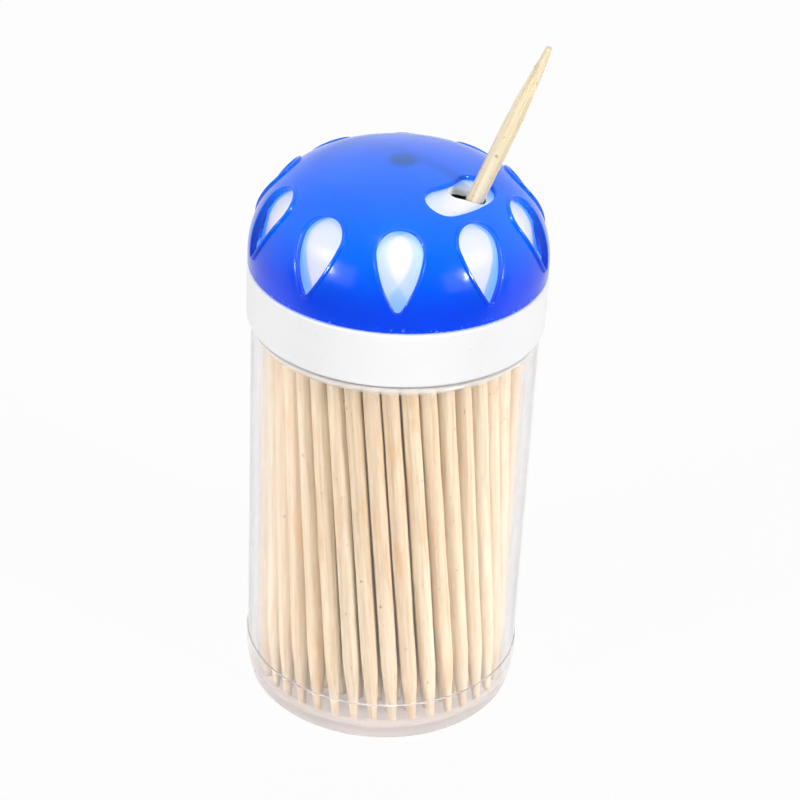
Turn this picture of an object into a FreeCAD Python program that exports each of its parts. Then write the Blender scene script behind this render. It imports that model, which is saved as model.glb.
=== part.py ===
import FreeCAD, Part
import math
import os
import random

from FreeCAD import Placement, Rotation, Vector

# Toothpick dispenser: a clear jar full of toothpicks, a white snap-on lid with a
# dispensing slot and three small holes, and a blue domed cover that turns on the lid
# to open one or the other.  Millimetres.  +Z is up and the origin is the centre of
# the jar's foot.  An azimuth is counted from -Y, the front, towards +X.

# Jar
jar_r = 19.4            # straight outer wall
jar_wall = 1.3
jar_floor = 1.6
shoulder_round = 0.4
foot_band_h = 6.2       # height of the slightly prouder band round the foot
foot_band_out = 0.15
foot_in = 0.6           # how far the band draws in at the very bottom
foot_draw_h = 3.4       # height over which it does
foot_draw_round = 9.0
foot_round = 0.5
inner_corner = 0.8      # rounding between the floor and the wall
neck_in = 0.5           # step from the wall in to the neck
neck_h = 6.9
neck_bead = 0.15        # snap bead round the neck
bead_h = 0.8
bead_up = 2.4           # bead's middle above the shoulder

# Lid
ring_over = 0.6         # how far the white ring stands outside the jar's wall
skirt_gap = 0.5         # open line between the ring and the jar's shoulder
snap_gap = 0.05         # each bead clears the other wall by this much
seat_gap = 0.03         # lid's underside above the neck's rim
ledge_t = 1.2
ring_round = 0.35
lid_wall = 1.0
lid_turn = 40.0         # the lid's dome keeps to the cover's curve until it faces this far up
lid_corner_r = 5.5      # then turns down in a tighter curve,
lid_draft = 12.0        # and flares out to its foot by this angle

# Domed cover
rim_in = 0.07           # cover's rim inside the white ring
rim_gap = 0.1           # rim above the lid's ledge
rim_straight = 1.4      # upright part of the wall above the rim
rim_round = 0.3
crown_r = 42.0          # profile: a flat crown arc, then a tighter shoulder arc
shoulder_r = 12.7
cover_wall = 0.6
cover_gap = 0.4         # air between the cover and the lid's dome

# Teardrop windows in the cover
window_count = 10
window_first = 0.5      # azimuth of the first one, degrees
window_elev = 30.0      # a window faces outwards and this far up, degrees
window_len = 10.5       # down to where its sides would meet
window_top_r = 2.9
window_side_r = 14.0
window_tip_r = 0.5
lip_w = 0.5             # raised lip round each window
lip_h = 0.3
lip_round = 0.2

# Kidney port in the cover
port_azimuth = 47.0     # middle of the port
port_half_turn = 15.7   # from its middle to each end's centre, degrees
port_w = 5.0
port_web = 1.6          # plastic left between the port and the windows' tops
port_round = 0.25

# Pivot
pivot_r = 1.5
pivot_clear = 0.25      # running clearance in the lid, on the radius
barb_out = 0.5
barb_land_h = 0.6
barb_lead_h = 0.9       # tapered nose that spreads the lid's hole
barb_nose_r = 1.15
barb_gap = 0.25         # play between the barb and the lid

# Dispensing slot and small holes in the lid
slot_turn = 9.7         # from the port's middle to the slot's, degrees
slot_in = 0.55          # slot's middle nearer to the axis than the port's
slot_len = 4.9          # along X
slot_side_gap = 0.22    # each side of a toothpick
small_hole_d = 2.6
small_hole_count = 3
small_hole_step = 22.0  # degrees

# Toothpicks
pick_len = 65.0
pick_d = 2.1
pick_taper = 11.5
pick_tip_d = 0.5
pick_tilt = 20.6        # lean of the dispensed one towards +X, degrees
pick_shown = 22.14      # its length outside the lid
pick_end_gap = 0.2      # between it and the slot's end
pick_above_shoulder = 9.6   # how far the standing ones reach above the jar's shoulder

# Filling
row_count = 4
fill_gap = 0.5          # gap between one row and the next
wall_side_gap = 0.12    # spare room between neighbours in the wall row
side_gap = 0.25         # the same in the inner rows
stand_gap = 0.06        # tips above the floor
lid_spare = 0.59        # least room between the wall row and the lid's mouth
gap_azimuth = 84.0      # where the wall row opens in a V
twist_after_gap = -6.0  # turn from a toothpick's top to its lower tip, just after the V
twist_before_gap = 27.0 # what the turn grows to round the wall row
twist_inside = 15.0     # the same turn in the inner rows
jitter = 0.06           # how far each end strays from its place in the row
stray_seed = 11

# Cutting
cut_past = 1.0          # a cut runs this far past the face that it opens
same_place = 1e-6
on_face = 1e-4          # a point this near to a face lies on it
edge_tests = 5          # points tested along an edge

# Heights and radii that follow
shoulder_z = jar_floor + pick_len - pick_above_shoulder   # where the wall steps in to the neck
neck_r = jar_r - neck_in
neck_top = shoulder_z + neck_h
ring_r = jar_r + ring_over
skirt_z = shoulder_z + skirt_gap
skirt_inner_r = neck_r + neck_bead + snap_gap + neck_bead
ledge_bottom = neck_top + seat_gap
ledge_top = ledge_bottom + ledge_t
rim_z = ledge_top + rim_gap
rim_r = ring_r - rim_in
spring_z = rim_z + rim_straight
crown_sin = (rim_r - shoulder_r) / (crown_r - shoulder_r)
crown_cos = math.sqrt(1 - crown_sin ** 2)
shoulder_mid_r = rim_r - shoulder_r
apex_z = spring_z + shoulder_r * crown_cos + crown_r * (1 - crown_cos)
lid_face = cover_wall + cover_gap        # insets from the cover's outer face
lid_back = lid_face + lid_wall
lid_side = Vector(math.cos(math.radians(lid_turn)), 0, math.sin(math.radians(lid_turn)))
lid_corner = Vector(shoulder_mid_r, 0, spring_z) + lid_side * (shoulder_r - lid_face - lid_corner_r)
lid_slope = math.tan(math.radians(lid_draft))
lid_flare = Vector(math.cos(math.radians(lid_draft)), 0, math.sin(math.radians(lid_draft)))
window_top = math.radians(window_elev) + math.asin(window_len / 2 / shoulder_r)
port_r = shoulder_mid_r + shoulder_r * math.cos(window_top) - port_web - port_w / 2
slot_r = port_r - slot_in
slot_azimuth = port_azimuth + slot_turn
slot_w = pick_d + 2 * slot_side_gap


def lid_flare_r(depth, height):
    """Radius of the lid's flared side, set in by depth from its outer face, at a height."""
    start = lid_corner + lid_flare * (lid_corner_r - depth)
    return start.x + (start.z - height) * lid_slope


# Radii of the wall row's circles, at the tips and at the tops
stray_most = math.hypot(jitter, jitter)
wall_row_r = jar_r - jar_wall - max(pick_d / 2, inner_corner + pick_tip_d / 2) - stray_most
top_z = jar_floor + stand_gap + pick_len
reach_r = pick_tip_d / 2 + (pick_d - pick_tip_d) / 2 * min(1, (top_z - ledge_bottom) / pick_taper)
mouth_r = lid_flare_r(lid_wall, ledge_top)
top_room_r = min(mouth_r - reach_r, lid_flare_r(lid_wall, top_z) - pick_tip_d / 2)
top_row_r = top_room_r - stray_most - lid_spare
top_in = wall_row_r - top_row_r


def place(azimuth, radius, z=0.0):
    """Point at an azimuth counted from -Y towards +X."""
    a = math.radians(azimuth)
    return Vector(radius * math.sin(a), -radius * math.cos(a), z)


def rounded_outline(corners):
    """Closed wire in the XZ plane through corners (r, z, rounding)."""
    edges = []
    ends = []
    for i, (x, z, rounding) in enumerate(corners):
        here = Vector(x, 0, z)
        before = Vector(corners[i - 1][0], 0, corners[i - 1][1]) - here
        after = Vector(corners[(i + 1) % len(corners)][0], 0, corners[(i + 1) % len(corners)][1]) - here
        if not rounding:
            ends.append((here, here))
            continue
        half = before.getAngle(after) / 2
        u = before.normalize()
        v = after.normalize()
        start = here + u * (rounding / math.tan(half))
        end = here + v * (rounding / math.tan(half))
        bisector = (u + v).normalize()
        middle = here + bisector * (rounding / math.sin(half) - rounding)
        edges.append(Part.Arc(start, middle, end).toShape())
        ends.append((start, end))
    for i in range(len(ends)):
        start, end = ends[i - 1][1], ends[i][0]
        if start.distanceToPoint(end) > same_place:
            edges.append(Part.LineSegment(start, end).toShape())
    return Part.Wire(Part.__sortEdges__(edges))


def turned(wire):
    """Solid of revolution about Z of a closed wire in the XZ plane."""
    return Part.Face(wire).revolve(Vector(0, 0, 0), Vector(0, 0, 1), 360)


def dome_arcs(inset, facing):
    """Arcs of the dome's profile, set in by inset, from the axis to where it faces this far up."""
    crown = crown_r - inset
    shoulder = shoulder_r - inset
    top = Vector(0, 0, apex_z - inset)
    crown_z = apex_z - crown_r
    join = Vector(crown * crown_sin, 0, crown_z + crown * crown_cos)
    join_turn = math.asin(crown_sin)
    crown_turn = join_turn / 2
    crown_mid = Vector(crown * math.sin(crown_turn), 0, crown_z + crown * math.cos(crown_turn))
    end_turn = math.pi / 2 - math.radians(facing)
    middle, end = (
        Vector(shoulder_mid_r + shoulder * math.sin(turn), 0, spring_z + shoulder * math.cos(turn))
        for turn in ((join_turn + end_turn) / 2, end_turn)
    )
    return [Part.Arc(top, crown_mid, join).toShape(), Part.Arc(join, middle, end).toShape()], end


def closed_below(arcs, end, foot, bottom):
    """Solid of revolution under a profile that ends at end, runs to foot and then straight down."""
    corners = [end, foot, Vector(foot.x, 0, bottom), Vector(0, 0, bottom), arcs[0].Vertexes[0].Point]
    edges = []
    for a, b in zip(corners, corners[1:]):
        if a.distanceToPoint(b) > same_place:
            edges.append(Part.LineSegment(a, b).toShape())
    return turned(Part.Wire(arcs + edges))


def dome_fill(inset, bottom):
    """Everything under the cover's outer face, set in by inset, down to a height."""
    arcs, side = dome_arcs(inset, 0)
    return closed_below(arcs, side, side, bottom)


def lid_fill(depth, bottom):
    """Everything under the lid's dome, set in by depth from its outer face, down to a height."""
    arcs, turn = dome_arcs(lid_face + depth, lid_turn)
    corner = lid_corner_r - depth
    middle = (lid_side + lid_flare).normalize()
    side = lid_corner + lid_flare * corner
    arcs.append(Part.Arc(turn, lid_corner + middle * corner, side).toShape())
    return closed_below(arcs, side, Vector(lid_flare_r(depth, ledge_top), 0, ledge_top), bottom)


def face_height(radius, inset):
    """Height of the dome's face, set in by inset, at a radius from the axis."""
    crown = crown_r - inset
    if radius <= crown * crown_sin:
        return apex_z - crown_r + math.sqrt(crown ** 2 - radius ** 2)
    return spring_z + math.sqrt((shoulder_r - inset) ** 2 - (radius - shoulder_mid_r) ** 2)


def make_jar():
    band_r = jar_r + foot_band_out
    bead_z = shoulder_z + bead_up
    inner_r = jar_r - jar_wall
    mouth_round = (neck_r - inner_r) / 3
    outline = [
        (0, 0, 0),
        (band_r - foot_in, 0, foot_round),
        (band_r, foot_draw_h, foot_draw_round),
        (band_r, foot_band_h, 0),
        (jar_r, foot_band_h + foot_band_out, 0),
        (jar_r, shoulder_z, shoulder_round),
        (neck_r, shoulder_z, 0),
        (neck_r, bead_z - bead_h / 2, 0),
        (neck_r + neck_bead, bead_z, 0),
        (neck_r, bead_z + bead_h / 2, 0),
        (neck_r, neck_top, mouth_round),
        (inner_r, neck_top, mouth_round),
        (inner_r, jar_floor, inner_corner),
        (0, jar_floor, 0),
    ]
    return turned(rounded_outline(outline))


def make_slot_cutter():
    """Upright prism of the dispensing slot: a rounded slot along X."""
    middle = place(slot_azimuth, slot_r, ledge_top)
    end_r = slot_w / 2
    reach = slot_len / 2 - end_r
    right = middle + Vector(reach, 0, 0)
    left = middle - Vector(reach, 0, 0)
    side = Vector(0, end_r, 0)
    out = Vector(end_r, 0, 0)
    edges = [
        Part.LineSegment(left + side, right + side).toShape(),
        Part.Arc(right + side, right + out, right - side).toShape(),
        Part.LineSegment(right - side, left - side).toShape(),
        Part.Arc(left - side, left - out, left + side).toShape(),
    ]
    return Part.Face(Part.Wire(edges)).extrude(Vector(0, 0, apex_z - ledge_top))


def make_lid():
    bead_z = shoulder_z + bead_up - bead_h
    outline = [
        (skirt_inner_r, skirt_z, ring_round / 2),
        (ring_r, skirt_z, ring_round),
        (ring_r, ledge_top, ring_round),
        (mouth_r, ledge_top, 0),
        (mouth_r, ledge_bottom, 0),
        (skirt_inner_r, ledge_bottom, 0),
        (skirt_inner_r, bead_z + bead_h / 2, 0),
        (skirt_inner_r - neck_bead, bead_z, 0),
        (skirt_inner_r, bead_z - bead_h / 2, 0),
    ]
    ring = turned(rounded_outline(outline))
    dome = lid_fill(0, ledge_bottom).cut(lid_fill(lid_wall, ledge_bottom))
    lid = ring.fuse(dome).removeSplitter()
    height = apex_z - ledge_top
    cutters = [
        make_slot_cutter(),
        Part.makeCylinder(pivot_r + pivot_clear, height, Vector(0, 0, ledge_top)),
    ]
    opposite = port_azimuth + 180
    for i in range(small_hole_count):
        azimuth = opposite + (i - (small_hole_count - 1) / 2) * small_hole_step
        cutters.append(Part.makeCylinder(small_hole_d / 2, height, place(azimuth, port_r, ledge_top)))
    return lid.cut(cutters)


def teardrop(grow):
    """Teardrop face in the XY plane, blunt point towards -Y, grown outwards by grow."""
    drop = window_len - window_top_r
    arm = window_side_r - window_top_r
    lift_sin = (window_side_r ** 2 - arm ** 2 - drop ** 2) / (2 * drop * arm)
    lift_cos = math.sqrt(1 - lift_sin ** 2)
    top_r = window_top_r + grow
    side_r = window_side_r + grow
    tip_r = window_tip_r + grow
    centre_x = -arm * lift_cos
    centre_y = arm * lift_sin
    right = Vector(top_r * lift_cos, -top_r * lift_sin, 0)
    left = Vector(-right.x, right.y, 0)
    side_centre = Vector(centre_x, centre_y, 0)
    tip_centre = Vector(0, centre_y - math.sqrt((side_r - tip_r) ** 2 - centre_x ** 2), 0)
    low_right = side_centre + (tip_centre - side_centre) * (side_r / (side_r - tip_r))
    low_left = Vector(-low_right.x, low_right.y, 0)
    tip = tip_centre - Vector(0, tip_r, 0)
    middle_turn = (math.atan2(-lift_sin, lift_cos) + math.atan2(low_right.y - centre_y, low_right.x - centre_x)) / 2
    bulge_x = centre_x + side_r * math.cos(middle_turn)
    bulge_y = centre_y + side_r * math.sin(middle_turn)
    edges = [
        Part.Arc(right, Vector(0, top_r, 0), left).toShape(),
        Part.Arc(left, Vector(-bulge_x, bulge_y, 0), low_left).toShape(),
        Part.Arc(low_left, tip, low_right).toShape(),
        Part.Arc(low_right, Vector(bulge_x, bulge_y, 0), right).toShape(),
    ]
    return Part.Face(Part.Wire(edges))


def window_prism(azimuth, grow):
    """Teardrop prism that crosses the cover's wall at an azimuth, point downwards."""
    prism = teardrop(grow).extrude(Vector(0, 0, shoulder_r))
    # Its outline is centred, turned upright and sent out along the window's facing.
    prism.translate(Vector(0, window_len / 2 - window_top_r, shoulder_r / 2))
    prism.rotate(Vector(0, 0, 0), Vector(1, 0, 0), 90 - window_elev)
    prism.translate(Vector(0, -shoulder_mid_r, spring_z))
    prism.rotate(Vector(0, 0, 0), Vector(0, 0, 1), azimuth)
    return prism


def make_port_cutter():
    """Upright prism of the kidney port, a slot bent round the axis."""
    first = port_azimuth - port_half_turn
    last = port_azimuth + port_half_turn
    inner_r = port_r - port_w / 2
    outer_r = port_r + port_w / 2
    first_end = place(first, port_r) - place(first + 90, port_w / 2)
    last_end = place(last, port_r) + place(last + 90, port_w / 2)
    edges = [
        Part.Arc(place(first, outer_r), place(port_azimuth, outer_r), place(last, outer_r)).toShape(),
        Part.Arc(place(last, outer_r), last_end, place(last, inner_r)).toShape(),
        Part.Arc(place(last, inner_r), place(port_azimuth, inner_r), place(first, inner_r)).toShape(),
        Part.Arc(place(first, inner_r), first_end, place(first, outer_r)).toShape(),
    ]
    port = Part.Face(Part.Wire(edges))
    port.translate(Vector(0, 0, ledge_top))
    return port.extrude(Vector(0, 0, apex_z - ledge_top))


def make_pivot():
    """Snap pin under the cover's crown: it turns in the lid and is held by its barb."""
    face = apex_z - cover_wall
    under_lid = apex_z - lid_back
    barb_top = under_lid - barb_gap
    barb_edge = barb_top - barb_land_h
    barb_bottom = barb_edge - barb_lead_h
    root = cover_wall / 2
    outline = [
        (0, barb_bottom, 0),
        (barb_nose_r, barb_bottom, 0),
        (pivot_r + barb_out, barb_edge, 0),
        (pivot_r + barb_out, barb_top, 0),
        (pivot_r, barb_top, 0),
        (pivot_r, face + root, 0),
        (0, face + root, 0),
    ]
    return turned(rounded_outline(outline))


def edges_on(shape, is_there):
    """Edges of a shape whose every point meets a test."""
    found = []
    for edge in shape.Edges:
        if edge.Length < same_place:
            continue
        start, end = edge.ParameterRange
        points = [edge.valueAt(start + (end - start) * i / (edge_tests - 1)) for i in range(edge_tests)]
        if all(is_there(p) for p in points):
            found.append(edge)
    return found


def on_lip(point):
    """True on the raised face of the windows' lips."""
    height = math.hypot(math.hypot(point.x, point.y) - shoulder_mid_r, point.z - spring_z) - shoulder_r
    return point.z > spring_z and abs(height - lip_h) < lip_h / 4


def on_port_edge(point):
    """True where the port opens in the cover's outer face."""
    radius = math.hypot(point.x, point.y)
    turn = math.degrees(math.atan2(point.x, -point.y)) - port_azimuth
    in_ring = abs(radius - port_r) < port_w / 2 + port_round
    in_turn = abs(turn) < port_half_turn + math.degrees(port_w / port_r)
    return in_ring and in_turn and abs(point.z - face_height(radius, 0)) < on_face


def make_cover():
    shell = dome_fill(0, rim_z).cut(dome_fill(cover_wall, rim_z - cut_past))
    boxes = [(e, e.BoundBox) for e in shell.Edges]
    corner = [e for e, b in boxes if b.ZMax < rim_z + same_place and b.XMax > rim_r - same_place]
    shell = shell.makeFillet(rim_round, corner)
    proud = dome_fill(-lip_h, spring_z - shoulder_r / 2).cut(dome_fill(cover_wall / 2, spring_z - shoulder_r))
    azimuths = [window_first + i * 360 / window_count for i in range(window_count)]
    lips = [proud.common(window_prism(a, lip_w)) for a in azimuths]
    cover = shell.fuse(lips + [make_pivot()])
    cutters = [window_prism(a, 0) for a in azimuths] + [make_port_cutter()]
    cover = cover.cut(cutters).removeSplitter()
    cover = cover.makeFillet(port_round, edges_on(cover, on_port_edge))
    return cover.makeFillet(lip_round, edges_on(cover, on_lip))


def make_pick(start, direction):
    """Double-ended toothpick with one tip at start."""
    outline = [
        (0, 0, 0),
        (pick_tip_d / 2, 0, 0),
        (pick_d / 2, pick_taper, 0),
        (pick_d / 2, pick_len - pick_taper, 0),
        (pick_tip_d / 2, pick_len, 0),
        (0, pick_len, 0),
    ]
    pick = turned(rounded_outline(outline))
    pick.Placement = Placement(start, Rotation(Vector(0, 0, 1), direction))
    return pick


def dispensed_line():
    """Lower tip and direction of the toothpick that leans out of the slot."""
    tilt = math.radians(pick_tilt)
    direction = Vector(math.sin(tilt), 0, math.cos(tilt))
    middle = place(slot_azimuth, slot_r)
    x = middle.x + slot_len / 2 - pick_end_gap - pick_d / 2 / math.cos(tilt)
    crossing = Vector(x, middle.y, face_height(math.hypot(x, middle.y), lid_face))
    return crossing - direction * (pick_len - pick_shown), direction


def line_gap(start_a, direction_a, start_b, direction_b):
    """Least distance between the middles of two toothpicks, tip to tip."""
    a = Part.LineSegment(start_a, start_a + direction_a * pick_len).toShape()
    b = Part.LineSegment(start_b, start_b + direction_b * pick_len).toShape()
    return a.distToShape(b)[0]


def stray(draw):
    return Vector(draw.uniform(-jitter, jitter), draw.uniform(-jitter, jitter), 0)


def standing_line(azimuth, twist, radius, draw):
    """Tip on the floor and direction of a toothpick that stands in a row."""
    tip = place(azimuth, radius, jar_floor + stand_gap) + stray(draw)
    top = place(azimuth - twist, radius - top_in, tip.z) + stray(draw)
    run = top - tip
    rise = math.sqrt(pick_len ** 2 - run.Length ** 2)
    return tip, Vector(run.x, run.y, rise).normalize()


def row_size(radius, twist_growth, spare):
    """How many toothpicks stand round a circle, where growing twists leave out part of it."""
    return int(math.radians(360 - twist_growth) * radius / (pick_d + 2 * jitter + spare))


def make_rows():
    """Rows of standing toothpicks from the wall inwards, clear of the dispensed one."""
    draw = random.Random(stray_seed)
    loose = dispensed_line()
    twist_growth = twist_before_gap - twist_after_gap
    rows = []
    for row in range(row_count):
        radius = wall_row_r - row * (pick_d + fill_gap)
        if row == 0:
            count = row_size(radius - top_in, twist_growth, wall_side_gap)
        else:
            count = row_size(radius - top_in, 0, side_gap)
        picks = []
        for i in range(count):
            azimuth = gap_azimuth + (i + 0.5) * 360 / count
            twist = twist_after_gap + twist_growth * i / (count - 1) if row == 0 else twist_inside
            tip, direction = standing_line(azimuth, twist, radius, draw)
            if line_gap(tip, direction, *loose) > pick_d + fill_gap:
                picks.append(make_pick(tip, direction))
        rows.append(picks)
    return rows


def main():
    rows = make_rows()
    nodes = {
        "jar": make_jar(),
        "inner_lid": make_lid(),
        "dome_cover": make_cover(),
        "toothpick_dispensed": make_pick(*dispensed_line()),
    }
    for i, pick in enumerate(rows[0]):
        nodes["toothpick_wall_%02d" % (i + 1)] = pick
    for i, picks in enumerate(rows[1:]):
        nodes["toothpicks_row_%d" % (i + 2)] = Part.makeCompound(picks)
    os.makedirs("parts", exist_ok=True)
    for name, shape in nodes.items():
        shape.exportStep("parts/%s.step" % name)
        print(name, len(shape.Solids), "solids, valid", shape.isValid(), "volume %.1f" % shape.Volume)


main()
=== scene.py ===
from collections import namedtuple
import math
import random

import bpy
import numpy as np
from mathutils import Matrix, Vector


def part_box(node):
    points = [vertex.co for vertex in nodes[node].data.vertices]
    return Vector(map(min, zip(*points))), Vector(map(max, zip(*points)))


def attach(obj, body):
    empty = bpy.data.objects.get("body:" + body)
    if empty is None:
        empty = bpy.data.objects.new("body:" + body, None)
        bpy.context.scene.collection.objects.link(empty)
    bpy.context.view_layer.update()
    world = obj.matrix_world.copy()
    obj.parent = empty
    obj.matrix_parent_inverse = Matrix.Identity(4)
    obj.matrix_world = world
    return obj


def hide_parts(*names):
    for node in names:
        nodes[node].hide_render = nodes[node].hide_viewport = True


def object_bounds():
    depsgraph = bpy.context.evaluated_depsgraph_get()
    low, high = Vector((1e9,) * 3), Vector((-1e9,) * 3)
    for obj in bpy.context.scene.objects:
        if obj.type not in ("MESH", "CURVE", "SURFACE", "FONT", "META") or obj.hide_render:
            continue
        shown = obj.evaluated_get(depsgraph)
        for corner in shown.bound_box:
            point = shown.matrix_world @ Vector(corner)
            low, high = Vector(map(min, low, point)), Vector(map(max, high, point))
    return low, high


# A toothpick dispenser: the jar, lid and domed cover are the CAD meshes with new materials,
# and each toothpick is a whittled stick in place of its CAD solid.  Metres and degrees.

MM = 0.001

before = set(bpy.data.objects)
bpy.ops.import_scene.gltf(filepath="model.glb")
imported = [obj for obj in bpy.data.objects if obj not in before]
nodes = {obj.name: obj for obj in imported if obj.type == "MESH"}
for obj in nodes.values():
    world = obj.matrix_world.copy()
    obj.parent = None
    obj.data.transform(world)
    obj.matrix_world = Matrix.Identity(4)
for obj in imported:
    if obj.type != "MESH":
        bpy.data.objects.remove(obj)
cad_low, cad_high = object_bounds()

# ---------------------------------------------------------------- camera and studio

camera_place = Vector((0.0, -0.2563, 0.1964))
camera_turn = 0.25          # to the right of straight ahead
camera_drop = 30.74         # below the horizon
camera_roll = 2.84
camera_lens = 97.8          # millimetres, as is the sensor
sensor_width = 36.0
nearest_seen = 0.01

floor_side = 6.0
floor_paper = (0.62, 0.62, 0.62, 1)
floor_glow = 0.95           # share of plain white in the floor, for rays that look at it
table_dark = 0.85           # how far the table in front of the object is dark in gloss
table_fade = (-0.10, 0.0)   # y over which that ends

lamp_distance = 0.9
# name, azimuth from the front towards +X, rise above the horizon, side, watts, and whether
# gloss shows it
lamps = (
    ("softbox_left", -45.0, 20.0, 0.34, 0.50, True),
    ("softbox_right", 47.0, 18.0, 0.34, 0.50, True),
    ("softbox_top", 0.0, 62.0, 0.42, 2.0, True),
    ("flash_left", -56.0, 20.0, 0.11, 3.6, True),
    ("flash_right", 57.0, 20.0, 0.11, 4.3, True),
    ("softbox_back", 180.0, 30.0, 0.60, 4.2, False),
)

sky_strength = 0.18
front_gloss = 0.12          # what glossy surfaces mirror of the dark room in front
back_gloss = 1.0            # and of the white backdrop behind
room_fade = (-0.75, 0.35)   # y of the directions between which one turns into the other


def make_camera():
    data = bpy.data.cameras.new("camera")
    data.sensor_width = sensor_width
    data.lens = camera_lens
    data.clip_start = nearest_seen
    camera = bpy.data.objects.new("camera", data)
    bpy.context.scene.collection.objects.link(camera)
    turn = math.radians(camera_turn)
    drop = math.radians(camera_drop)
    ahead = Vector((math.sin(turn) * math.cos(drop), math.cos(turn) * math.cos(drop), -math.sin(drop)))
    aim = ahead.to_track_quat("-Z", "Y").to_matrix()
    aim = aim @ Matrix.Rotation(math.radians(camera_roll), 3, "Z")
    camera.matrix_world = Matrix.Translation(camera_place) @ aim.to_4x4()
    bpy.context.scene.camera = camera


def make_lamps():
    middle = (cad_low + cad_high) / 2
    for name, azimuth, rise, side, watts, mirrored in lamps:
        turn = math.radians(azimuth)
        lift = math.radians(rise)
        way = Vector((math.sin(turn) * math.cos(lift), -math.cos(turn) * math.cos(lift), math.sin(lift)))
        data = bpy.data.lights.new(name, "AREA")
        data.shape = "SQUARE"
        data.size = side
        data.energy = watts
        lamp = bpy.data.objects.new(name, data)
        bpy.context.scene.collection.objects.link(lamp)
        lamp.location = middle + way * lamp_distance
        lamp.rotation_euler = (-way).to_track_quat("-Z", "Y").to_euler()
        # The clear parts already let its light in as shadow rays, so it isn't counted twice.
        lamp.visible_transmission = False
        lamp.visible_glossy = mirrored


# ---------------------------------------------------------------- node helpers


class Tree:
    """A node tree, and a few words for building it."""

    def __init__(self, tree):
        tree.nodes.clear()
        self.tree = tree

    def add(self, kind, inputs=(), **settings):
        """A node whose inputs are linked, where the value is another node's output, or set."""
        node = self.tree.nodes.new(kind)
        for name, value in settings.items():
            setattr(node, name, value)
        for name, value in dict(inputs).items():
            if isinstance(value, bpy.types.NodeSocket):
                self.tree.links.new(value, node.inputs[name])
            else:
                node.inputs[name].default_value = value
        return node

    def place(self):
        """Object coordinates, which are places in the CAD's frame at rest."""
        return self.add("ShaderNodeTexCoord").outputs["Object"]

    def split(self, vector):
        """X, Y and Z of a vector."""
        return self.add("ShaderNodeSeparateXYZ", {0: vector}).outputs

    def maths(self, operation, a, b, clamp=False):
        return self.add("ShaderNodeMath", {0: a, 1: b}, operation=operation, use_clamp=clamp).outputs[0]

    def weighted(self, total, *terms):
        """The total plus each term, which is a value and its weight."""
        for value, weight in terms:
            inputs = {0: value, 1: weight, 2: total}
            total = self.add("ShaderNodeMath", inputs, operation="MULTIPLY_ADD").outputs[0]
        return total

    def mapped(self, value, source, target=(0.0, 1.0), smooth=False):
        """The value taken from its source range to the target range, and no further."""
        inputs = {"Value": value, "From Min": source[0], "From Max": source[1],
                  "To Min": target[0], "To Max": target[1]}
        kind = "SMOOTHSTEP" if smooth else "LINEAR"
        return self.add("ShaderNodeMapRange", inputs, interpolation_type=kind).outputs[0]

    def mix(self, share, a, b):
        """Colour a, with this share of colour b."""
        return self.add("ShaderNodeMix", {0: share, 6: a, 7: b}, data_type="RGBA").outputs[2]

    def mix_shader(self, share, a, b):
        return self.add("ShaderNodeMixShader", {0: share, 1: a, 2: b}).outputs[0]

    def noise(self, where, scale, detail, rough=0.5, stretch=None):
        """Noise from 0 to 1. A stretch below 1 draws it out along that axis."""
        if stretch is not None:
            where = self.add("ShaderNodeMapping", {"Vector": where, "Scale": stretch}).outputs[0]
        inputs = {"Vector": where, "Scale": scale, "Detail": detail, "Roughness": rough}
        return self.add("ShaderNodeTexNoise", inputs).outputs["Fac"]

    def bump(self, height, strength, distance):
        inputs = {"Strength": strength, "Distance": distance, "Height": height}
        return self.add("ShaderNodeBump", inputs).outputs[0]

    def looking(self, *kinds):
        """1 for rays of these kinds. After a matt bounce a ray only lights something, and has 0."""
        path = self.add("ShaderNodeLightPath").outputs
        found = path[kinds[0]]
        for kind in kinds[1:]:
            found = self.maths("MAXIMUM", found, path[kind])
        return self.maths("MULTIPLY", found, self.maths("LESS_THAN", path["Diffuse Depth"], 0.5))

    def surface(self, shader):
        self.add("ShaderNodeOutputMaterial", {"Surface": shader})

    def clear_surface(self, shader, shadow_tint):
        """The shader, through which lamps shine in this tint."""
        shadow = self.add("ShaderNodeLightPath").outputs["Is Shadow Ray"]
        clear = self.add("ShaderNodeBsdfTransparent", {"Color": shadow_tint}).outputs[0]
        self.surface(self.mix_shader(shadow, shader, clear))


def new_material(name):
    material = bpy.data.materials.new(name)
    material.use_nodes = True
    return material, Tree(material.node_tree)


def make_floor():
    material, tree = new_material("floor_paper")
    paper = tree.add("ShaderNodeBsdfDiffuse", {"Color": floor_paper}).outputs[0]
    glow = tree.add("ShaderNodeEmission").outputs[0]
    looking = tree.looking("Is Camera Ray", "Is Glossy Ray", "Is Transmission Ray")
    bright = tree.mix_shader(tree.maths("MULTIPLY", looking, floor_glow), paper, glow)
    front = tree.mapped(tree.split(tree.place())[1], table_fade, (table_dark, 0.0), smooth=True)
    glossy = tree.add("ShaderNodeLightPath").outputs["Is Glossy Ray"]
    dark = tree.add("ShaderNodeBsdfDiffuse", {"Color": (0, 0, 0, 1)}).outputs[0]
    tree.surface(tree.mix_shader(tree.maths("MULTIPLY", front, glossy), bright, dark))
    half = floor_side / 2
    corners = [(-half, -half, 0), (half, -half, 0), (half, half, 0), (-half, half, 0)]
    mesh = bpy.data.meshes.new("floor")
    mesh.from_pydata(corners, [], [(0, 1, 2, 3)])
    mesh.materials.append(material)
    floor = bpy.data.objects.new("floor", mesh)
    bpy.context.scene.collection.objects.link(floor)


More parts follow.
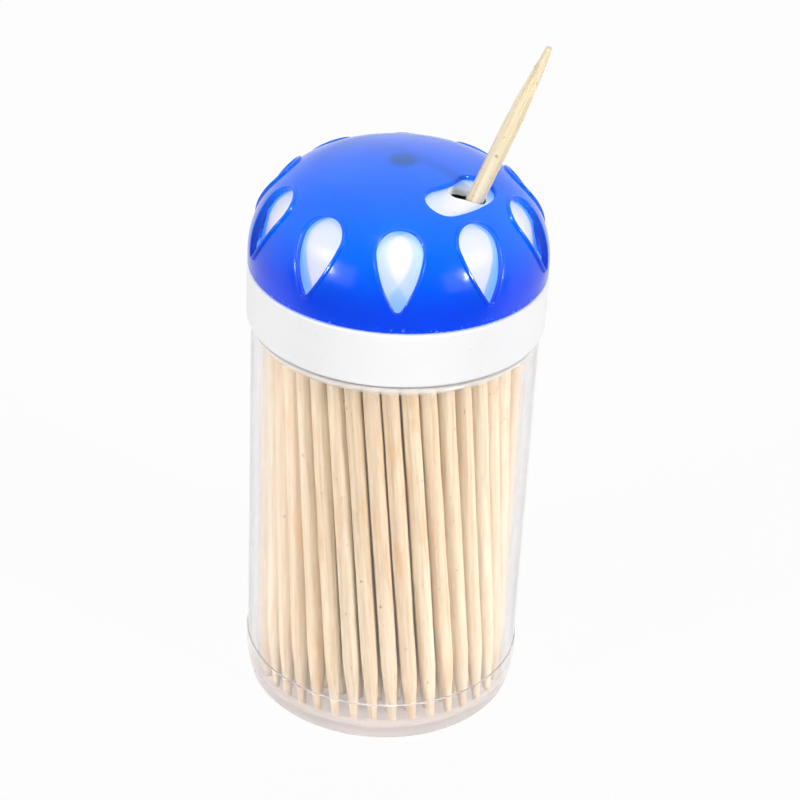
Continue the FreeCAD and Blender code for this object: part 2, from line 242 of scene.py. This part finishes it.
def make_world():
    """White where it is looked at, a backdrop behind and a dark room in front where it is
    mirrored, and a soft plain light for everything else."""
    world = bpy.data.worlds.new("studio")
    world.use_nodes = True
    tree = Tree(world.node_tree)
    way = tree.split(tree.add("ShaderNodeTexCoord").outputs["Generated"])
    mirrored = tree.mapped(way[1], room_fade, (front_gloss, back_gloss), smooth=True)
    looking = tree.looking("Is Camera Ray", "Is Transmission Ray")
    gloss = tree.looking("Is Glossy Ray")
    strength = tree.add("ShaderNodeMix", {0: gloss, 2: sky_strength, 3: mirrored}).outputs[0]
    strength = tree.add("ShaderNodeMix", {0: looking, 2: strength, 3: 1.0}).outputs[0]
    light = tree.add("ShaderNodeBackground", {"Color": (1, 1, 1, 1), "Strength": strength}).outputs[0]
    tree.add("ShaderNodeOutputWorld", {"Surface": light})
    bpy.context.scene.world = world


# ---------------------------------------------------------------- plastics
# Colours are linear red, green, blue and alpha.  A fade is the pair of heights or radii over
# which something begins or ends.

plastic_ior = 1.5

clear_tint = (0.955, 0.935, 0.93, 1)
foot_tint = (0.92, 0.84, 0.81, 1)
clear_shadow = (0.96, 0.95, 0.955, 1)
foot_fade = (1.6 * MM, 4.4 * MM)
low_wall_fade = (2.0 * MM, 14.0 * MM)
skirt_gap = 0.5 * MM        # the ring stops this far above the shoulder,
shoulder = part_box("inner_lid")[0].z - skirt_gap     # where the wall steps in to the neck
step_begins = (shoulder - 1.1 * MM, shoulder - 0.2 * MM)
step_ends = (shoulder + 0.1 * MM, shoulder + 0.6 * MM)

white_tints = (0.88, 0.875, 0.895, 1), (0.92, 0.92, 0.92, 1)
white_speck = (0.60, 0.56, 0.54, 1)

blue_ior = 1.45
blue_through = 0.5          # transmission, where the shell has no pin under it
blue_low = (0.0, 0.095, 0.80, 1)
# painted light: a lighter blue for the crown, where light falls from above and the backdrop is mirrored
blue_lit_crown = (0.001, 0.25, 0.93, 1)
blue_flow = (0.0, 0.055, 0.66, 1)
# painted shade: dark violet for the shell over the pin
pin_painted_shade = (0.24, 0.02, 0.34, 1)
blue_speck = (0.30, 0.52, 0.95, 1)
blue_shadow = (0.40, 0.70, 0.98, 1)
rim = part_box("dome_cover")[0].z
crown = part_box("dome_cover")[1].z
# heights over which the painted light on the crown comes in
crown_light_fade = (rim + 2 * MM, rim + 11 * MM)
worn_fade = (rim, rim + 1.0 * MM)
pin_fade = (1.7 * MM, 2.1 * MM)
pin_top_fade = (crown - 0.5 * MM, crown - 0.3 * MM)


def clear_plastic():
    material, tree = new_material("clear_plastic")
    where = tree.place()
    height = tree.split(where)[2]
    flow = tree.noise(where, scale=260.0, detail=3.0, stretch=(1, 1, 0.25))
    scuffs = tree.noise(where, scale=2600.0, detail=2.0, rough=0.6, stretch=(1, 1, 0.06))
    scuffs = tree.mapped(scuffs, (0.62, 0.74))
    # The foot is thicker and rubbed, so it is milkier than the wall, and so is the step up to
    # the neck, just under the ring.
    foot = tree.mapped(height, foot_fade, (1.0, 0.0), smooth=True)
    low_wall = tree.mapped(height, low_wall_fade, (1.0, 0.0), smooth=True)
    step = tree.maths("MULTIPLY", tree.mapped(height, step_begins, smooth=True),
                      tree.mapped(height, step_ends, (1.0, 0.0), smooth=True))
    side = tree.mapped(tree.add("ShaderNodeLayerWeight", {"Blend": 0.25}).outputs["Facing"], (0.35, 0.95))
    through = tree.weighted(0.985, (foot, -0.40), (low_wall, -0.06), (step, -0.62), (side, -0.10),
                            (flow, -0.03))
    rough = tree.weighted(0.03, (flow, 0.05), (scuffs, 0.06), (foot, 0.08))
    shader = tree.add("ShaderNodeBsdfPrincipled", {
        "Base Color": tree.mix(foot, clear_tint, foot_tint), "Transmission Weight": through,
        "Roughness": rough, "IOR": plastic_ior,
        "Normal": tree.bump(flow, strength=0.25, distance=0.05 * MM)}).outputs[0]
    tree.clear_surface(shader, clear_shadow)
    return material


def white_plastic():
    material, tree = new_material("white_plastic")
    where = tree.place()
    flow = tree.noise(where, scale=110.0, detail=4.0, rough=0.6, stretch=(1, 1, 2))
    grain = tree.noise(where, scale=3500.0, detail=2.0)
    specks = tree.mapped(tree.noise(where, scale=1400.0, detail=1.0), (0.74, 0.80))
    colour = tree.mix(flow, *white_tints)
    colour = tree.mix(tree.maths("MULTIPLY", specks, 0.5), colour, white_speck)
    tree.surface(tree.add("ShaderNodeBsdfPrincipled", {
        "Base Color": colour, "Roughness": tree.mapped(flow, (0.3, 0.7), (0.30, 0.42)),
        "IOR": plastic_ior, "Normal": tree.bump(grain, strength=0.3, distance=0.02 * MM)}).outputs[0])
    return material


def blue_plastic():
    material, tree = new_material("blue_plastic")
    where = tree.place()
    height = tree.split(where)[2]
    flow = tree.noise(where, scale=90.0, detail=4.0, rough=0.6)
    grain = tree.noise(where, scale=1300.0, detail=3.0, rough=0.6)
    # Painted light: the blue is painted lighter towards the crown, for the light from above and the
    # reflection of the white backdrop there, and so it is deeper towards the rim.
    colour = tree.mix(tree.mapped(height, crown_light_fade, smooth=True), blue_low, blue_lit_crown)
    colour = tree.mix(tree.mapped(flow, (0.3, 0.7), (0.0, 0.22)), colour, blue_flow)
    # The pin under the crown is solid, so the shell lets less through there, and dark violet is painted on
    # it: painted shade for the dark seen through the shell over the pin.
    flat = tree.add("ShaderNodeVectorMath", {0: where, 1: (1, 1, 0)}, operation="MULTIPLY").outputs[0]
    reach = tree.add("ShaderNodeVectorMath", {0: flat}, operation="LENGTH").outputs["Value"]
    pin = tree.maths("MULTIPLY", tree.mapped(reach, pin_fade, (1.0, 0.0)),
                     tree.mapped(height, pin_top_fade, (1.0, 0.0)))
    colour = tree.mix(pin, colour, pin_painted_shade)
    through = tree.maths("MULTIPLY", tree.maths("SUBTRACT", 1.0, pin), blue_through)
    # Pale specks and scuffs where the rim rubs on the white ring
    specks = tree.mapped(tree.noise(where, scale=1500.0, detail=2.0, rough=0.6), (0.60, 0.68))
    worn = tree.maths("MULTIPLY", specks, tree.mapped(height, worn_fade, (1.0, 0.0)))
    colour = tree.mix(worn, colour, blue_speck)
    rough = tree.mapped(grain, (0.3, 0.7), (0.09, 0.21))
    rough = tree.maths("ADD", rough, tree.maths("MULTIPLY", worn, 0.25))
    scratch = tree.noise(where, scale=900.0, detail=2.0, rough=0.6, stretch=(1, 0.12, 1))
    scratch = tree.mapped(scratch, (0.62, 0.70))
    relief = tree.maths("ADD", grain, tree.maths("MULTIPLY", scratch, -0.8))
    shader = tree.add("ShaderNodeBsdfPrincipled", {
        "Base Color": colour, "Roughness": rough, "IOR": blue_ior, "Specular IOR Level": 0.36,
        "Transmission Weight": through,
        "Normal": tree.bump(relief, strength=0.3, distance=0.007 * MM)}).outputs[0]
    tree.clear_surface(shader, blue_shadow)
    return material


def dress():
    """Gives the CAD meshes that stay their plastic."""
    for name, finish in (("jar", clear_plastic), ("inner_lid", white_plastic), ("dome_cover", blue_plastic)):
        nodes[name].data.materials.clear()
        nodes[name].data.materials.append(finish())


# ---------------------------------------------------------------- bamboo

# pale, warm pale, deep and warm deep
wall_colours = ((0.87, 0.79, 0.60, 1), (0.85, 0.71, 0.52, 1),
                (0.80, 0.66, 0.45, 1), (0.78, 0.60, 0.41, 1))
# Painted light: a paler copy of the same bamboo, for the drawn toothpick in the full light outside the jar.
# The rows inside the jar have it too, which lifts the shade seen between the toothpicks of the wall.
lit_colours = ((0.97, 0.87, 0.62, 1), (0.96, 0.84, 0.60, 1),
                (0.84, 0.69, 0.44, 1), (0.82, 0.66, 0.42, 1))
streak_dark = (0.60, 0.40, 0.21, 1)
streak_pale = (0.92, 0.82, 0.61, 1)
fibre_dark = (0.50, 0.32, 0.17, 1)
patch_orange = (0.76, 0.49, 0.25, 1)
speck_brown = (0.32, 0.17, 0.10, 1)
point_brown = (0.68, 0.50, 0.32, 1)


def bamboo(name, pale, warm_pale, deep, warm_deep):
    """Reads two attributes of the mesh. Grain is a place round and along the stick, in
    millimetres. Tint is how warm and how dark the stick is, and how far the place is from its
    ends, from 0 to 1."""
    material, tree = new_material(name)
    grain = tree.add("ShaderNodeAttribute", attribute_name="grain").outputs["Vector"]
    tint = tree.add("ShaderNodeAttribute", attribute_name="tint").outputs["Vector"]
    warm, shade, from_end = tree.split(tint)
    broad = tree.noise(grain, scale=0.9, detail=3.0, rough=0.55, stretch=(1, 1, 0.03))
    streak = tree.noise(grain, scale=2.6, detail=3.0, rough=0.6, stretch=(1, 1, 0.022))
    fibre = tree.noise(grain, scale=6.5, detail=2.0, rough=0.6, stretch=(1, 1, 0.035))
    patch = tree.noise(grain, scale=0.5, detail=3.0, rough=0.6, stretch=(1, 1, 0.2))
    speck = tree.noise(grain, scale=1.5, detail=2.0, rough=0.7, stretch=(1, 1, 0.5))
    tone = tree.mapped(broad, (0.35, 0.66), (0.0, 0.75))
    tone = tree.maths("ADD", tone, tree.maths("MULTIPLY", shade, 0.4), clamp=True)
    colour = tree.mix(tone, tree.mix(warm, pale, warm_pale), tree.mix(warm, deep, warm_deep))
    colour = tree.mix(tree.mapped(streak, (0.51, 0.66), (0.0, 0.46)), colour, streak_dark)
    colour = tree.mix(tree.mapped(streak, (0.46, 0.34), (0.0, 0.4)), colour, streak_pale)
    colour = tree.mix(tree.mapped(fibre, (0.58, 0.70), (0.0, 0.3)), colour, fibre_dark)
    # Orange patches, sparse brown specks a little longer than wide, and browner points
    colour = tree.mix(tree.mapped(patch, (0.55, 0.68), (0.0, 0.6)), colour, patch_orange)
    colour = tree.mix(tree.mapped(speck, (0.69, 0.74), (0.0, 0.75)), colour, speck_brown)
    colour = tree.mix(tree.mapped(from_end, (0.0, 0.5), (0.3, 0.0)), colour, point_brown)
    relief = tree.maths("ADD", streak, tree.maths("MULTIPLY", fibre, -0.6))
    tree.surface(tree.add("ShaderNodeBsdfPrincipled", {
        "Base Color": colour, "Roughness": tree.mapped(fibre, (0.3, 0.7), (0.48, 0.70)),
        "Specular IOR Level": 0.3,
        "Normal": tree.bump(relief, strength=0.6, distance=0.06 * MM)}).outputs[0])
    return material


# ---------------------------------------------------------------- toothpicks
# A pair is the least and the most that a toothpick draws at random.

draw_seed = 23
any_angle = (0, 6.3)        # radians

taper = 11.5 * MM
taper_share = (0.85, 1.0)
taper_curve = (1.15, 1.6)   # 1 is a plain cone, and more is fuller
end_cut = 0.12 * MM         # keeps the blunt tip inside the stand-in's box
tip_r = 0.38 * MM
body_r = 1.03 * MM          # the stand-in's is 1.05 mm
foot_band_out = 0.15 * MM
jar_wall = 1.3 * MM
wall_air = 0.04 * MM        # between the jar's wall and the toothpicks
bore_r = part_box("jar")[1].x - foot_band_out - jar_wall - wall_air

# Sizes in this group are shares of the radius, and places are shares of the length.
wave_count = 3              # slow waves of thickness, laid over each other
wave_size = 0.012
wave_turns = (1, 6)         # in the length
bulge_place = (0.2, 0.8)
bulge_size = 0.03
bulge_spread = 0.02
twist_range = (-0.8, 0.8)   # radians from end to end
facets = ((2, 0.01, 0.03), (3, 0.005, 0.02), (4, 0.005, 0.02), (7, 0.0, 0.015))    # count and pair

bend_most = 0.03 * MM
bend_waves = (1, 2, 3)
bend_falloff = 1.2          # power by which the quicker waves are smaller
slant = 0.12 * MM           # how far the ends are broken off askew
slant_fade = 0.5 * MM       # and how far in that is felt
ring_crowding = 0.09        # rings are closer together on the tapered ends
shade_curve = 1.5           # more pale toothpicks than dark ones
grain_span = (0, 500)       # each toothpick has its own stretch of grain

# Toothpicks in the jar are shown thick enough to all but touch, as they do in the photo.
Kind = namedtuple("Kind", "sides rings swell widest_r square in_jar")
row_kind = Kind(sides=12, rings=26, swell=1.155, widest_r=1.20 * MM, square=0.0, in_jar=True)
wall_kind = row_kind._replace(sides=24, rings=60)
drawn_kind = Kind(sides=32, rings=80, swell=1.09, widest_r=1.13 * MM, square=0.05, in_jar=False)


def solids_of(node):
    """Corner places of each separate solid in a CAD node's mesh."""
    mesh = node.data
    places = np.empty(len(mesh.vertices) * 3)
    mesh.vertices.foreach_get("co", places)
    places = places.reshape(-1, 3)
    edges = np.empty(len(mesh.edges) * 2, dtype=np.int64)
    mesh.edges.foreach_get("vertices", edges)
    edges = edges.reshape(-1, 2)
    # Corners of neighbouring faces may be doubled, so the same place counts as one corner.
    rounded = np.round(places / (0.001 * MM)).astype(np.int64)
    same = np.unique(rounded, axis=0, return_inverse=True)[1].reshape(-1)
    edges = same[edges]
    # Joined corners take the lowest number among them, until nothing changes.
    group = np.arange(same.max() + 1)
    while True:
        lowest = np.minimum(group[edges[:, 0]], group[edges[:, 1]])
        before = group.copy()
        np.minimum.at(group, edges[:, 0], lowest)
        np.minimum.at(group, edges[:, 1], lowest)
        group = group[group]
        if (group == before).all():
            break
    of_place = group[same]
    return [places[of_place == g] for g in np.unique(of_place)]


def ends_of(places):
    """Lower and upper end of a straight solid."""
    middle = places.mean(axis=0)
    direction = np.linalg.svd(places - middle, full_matrices=False)[2][0]
    if direction[2] < 0:
        direction = -direction
    along = (places - middle) @ direction
    return middle + direction * along.min(), middle + direction * along.max()


def thickness(steps, along, draw):
    """Radius at each ring: tapered ends, slow waves and one slight bulge."""
    length = along[-1]
    from_low = along / (taper * draw.uniform(*taper_share))
    from_high = (length - along) / (taper * draw.uniform(*taper_share))
    share = np.minimum(1.0, np.where(along < length / 2, from_low, from_high))
    radius = tip_r + (body_r - tip_r) * (1 - (1 - share) ** draw.uniform(*taper_curve))
    for _ in range(wave_count):
        radius *= 1 + wave_size * np.sin(2 * math.pi * (steps * draw.uniform(*wave_turns) + draw.random()))
    bulge = draw.uniform(*bulge_place)
    radius *= 1 + bulge_size * np.exp(-((steps - bulge) / bulge_spread) ** 2)
    return radius


def section_of(turns, square, draw):
    """Faint facets round the section, as shares of the radius. Square makes four stronger."""
    section = np.ones(len(turns))
    for count, least, most in facets:
        size = draw.uniform(least, most)
        if count == 4:
            size += square
        section += size * np.cos(count * (turns + draw.uniform(*any_angle)))
    return section / section.max()


def bend_of(steps, draw):
    """How far the axis strays sideways at each ring, none at the ends."""
    bend = np.zeros((len(steps), 2))
    hold = np.sin(math.pi * steps)
    for waves in bend_waves:
        size = bend_most / waves ** bend_falloff
        wave = np.sin(math.pi * (waves * steps + draw.random()))
        bend += np.outer(hold * wave, [draw.uniform(-size, size), draw.uniform(-size, size)])
    return bend


def tube_faces(rings, sides):
    """Faces of a closed tube whose corners run round each ring in turn."""
    faces = []
    for i in range(rings - 1):
        for j in range(sides):
            k = (j + 1) % sides
            faces.append((i * sides + j, i * sides + k, (i + 1) * sides + k, (i + 1) * sides + j))
    faces.append(tuple(range(sides))[::-1])
    faces.append(tuple((rings - 1) * sides + j for j in range(sides)))
    return faces


def pick_shape(low, high, kind, draw):
    """Corners, faces, grain places and tints of one whittled toothpick between two ends."""
    axis = high - low
    high = high - end_cut * axis / np.linalg.norm(axis)
    axis = high - low
    length = np.linalg.norm(axis)
    axis = axis / length
    side = np.cross(axis, (0.0, 1.0, 0.0))
    side /= np.linalg.norm(side)
    other = np.cross(axis, side)

    steps = np.linspace(0.0, 1.0, kind.rings)
    steps = steps - ring_crowding * np.sin(2 * math.pi * steps)
    along = steps * length
    to_end = np.minimum(along, length - along)
    radius = thickness(steps, along, draw)
    turns = np.linspace(0.0, 2 * math.pi, kind.sides, endpoint=False)
    angle = turns[None, :] + draw.uniform(*twist_range) * steps[:, None]
    section = section_of(turns, kind.square, draw)
    reach_out = np.minimum(kind.swell * radius[:, None] * section[None, :], kind.widest_r)
    bend = bend_of(steps, draw)
    local_x = (bend[:, :1] + reach_out * np.cos(angle))[..., None]
    local_y = (bend[:, 1:] + reach_out * np.sin(angle))[..., None]
    lean = slant * np.outer(np.exp(-to_end / slant_fade), np.cos(turns + draw.uniform(*any_angle)))
    lean = lean * np.where(along < length / 2, 1.0, -1.0)[:, None]
    local_z = np.clip(along[:, None] + lean, 0.0, length)[..., None]
    points = (low + local_z * axis + local_x * side + local_y * other).reshape(-1, 3)
    if kind.in_jar:
        out = np.hypot(points[:, 0], points[:, 1])
        points[:, :2] *= np.minimum(1.0, bore_r / out)[:, None]

    start = draw.uniform(*grain_span)
    grain = np.stack([radius[:, None] * np.cos(turns) / MM + start, radius[:, None] * np.sin(turns) / MM,
                      local_z[..., 0] / MM + start], axis=-1).reshape(-1, 3)
    tint = np.zeros(grain.shape)
    tint[:, 0] = draw.random()
    tint[:, 1] = draw.random() ** shade_curve
    tint[:, 2] = np.repeat(np.minimum(1.0, to_end / taper), kind.sides)
    return points, tube_faces(kind.rings, kind.sides), grain, tint


def pick_piece(name, shapes, body, replaced, wood):
    """One object of one or more toothpicks, which stands for a CAD node."""
    points, faces, grain, tint = zip(*shapes)
    joined = []
    start = 0
    for own_points, own_faces in zip(points, faces):
        joined += [tuple(start + i for i in face) for face in own_faces]
        start += len(own_points)
    mesh = bpy.data.meshes.new(name)
    mesh.from_pydata(np.concatenate(points).tolist(), [], joined)
    for label, values in (("grain", grain), ("tint", tint)):
        data = mesh.attributes.new(label, "FLOAT_VECTOR", "POINT").data
        data.foreach_set("vector", np.concatenate(values).ravel())
    mesh.shade_smooth()
    mesh.materials.append(wood)
    piece = bpy.data.objects.new(name, mesh)
    bpy.context.scene.collection.objects.link(piece)
    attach(piece, body)
    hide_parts(replaced)


def make_picks():
    wall_wood = bamboo("bamboo", *wall_colours)
    # the paler copy is painted light, for the drawn toothpick and the rows
    lit_wood = bamboo("bamboo_lit", *lit_colours)
    draw = random.Random(draw_seed)
    for name in sorted(nodes):
        if name == "toothpick_dispensed":
            kind, body, wood = drawn_kind, "pick", lit_wood
        elif name.startswith("toothpick_wall"):
            kind, body, wood = wall_kind, "jar", wall_wood
        elif name.startswith("toothpicks_row"):
            kind, body, wood = row_kind, "jar", lit_wood
        else:
            continue
        shapes = [pick_shape(*ends_of(solid), kind, draw) for solid in solids_of(nodes[name])]
        pick_piece(name.replace("toothpick", "pick"), shapes, body, name, wood)


bpy.context.scene.view_settings.view_transform = "Standard"
make_camera()
make_lamps()
make_floor()
make_world()
dress()
make_picks()
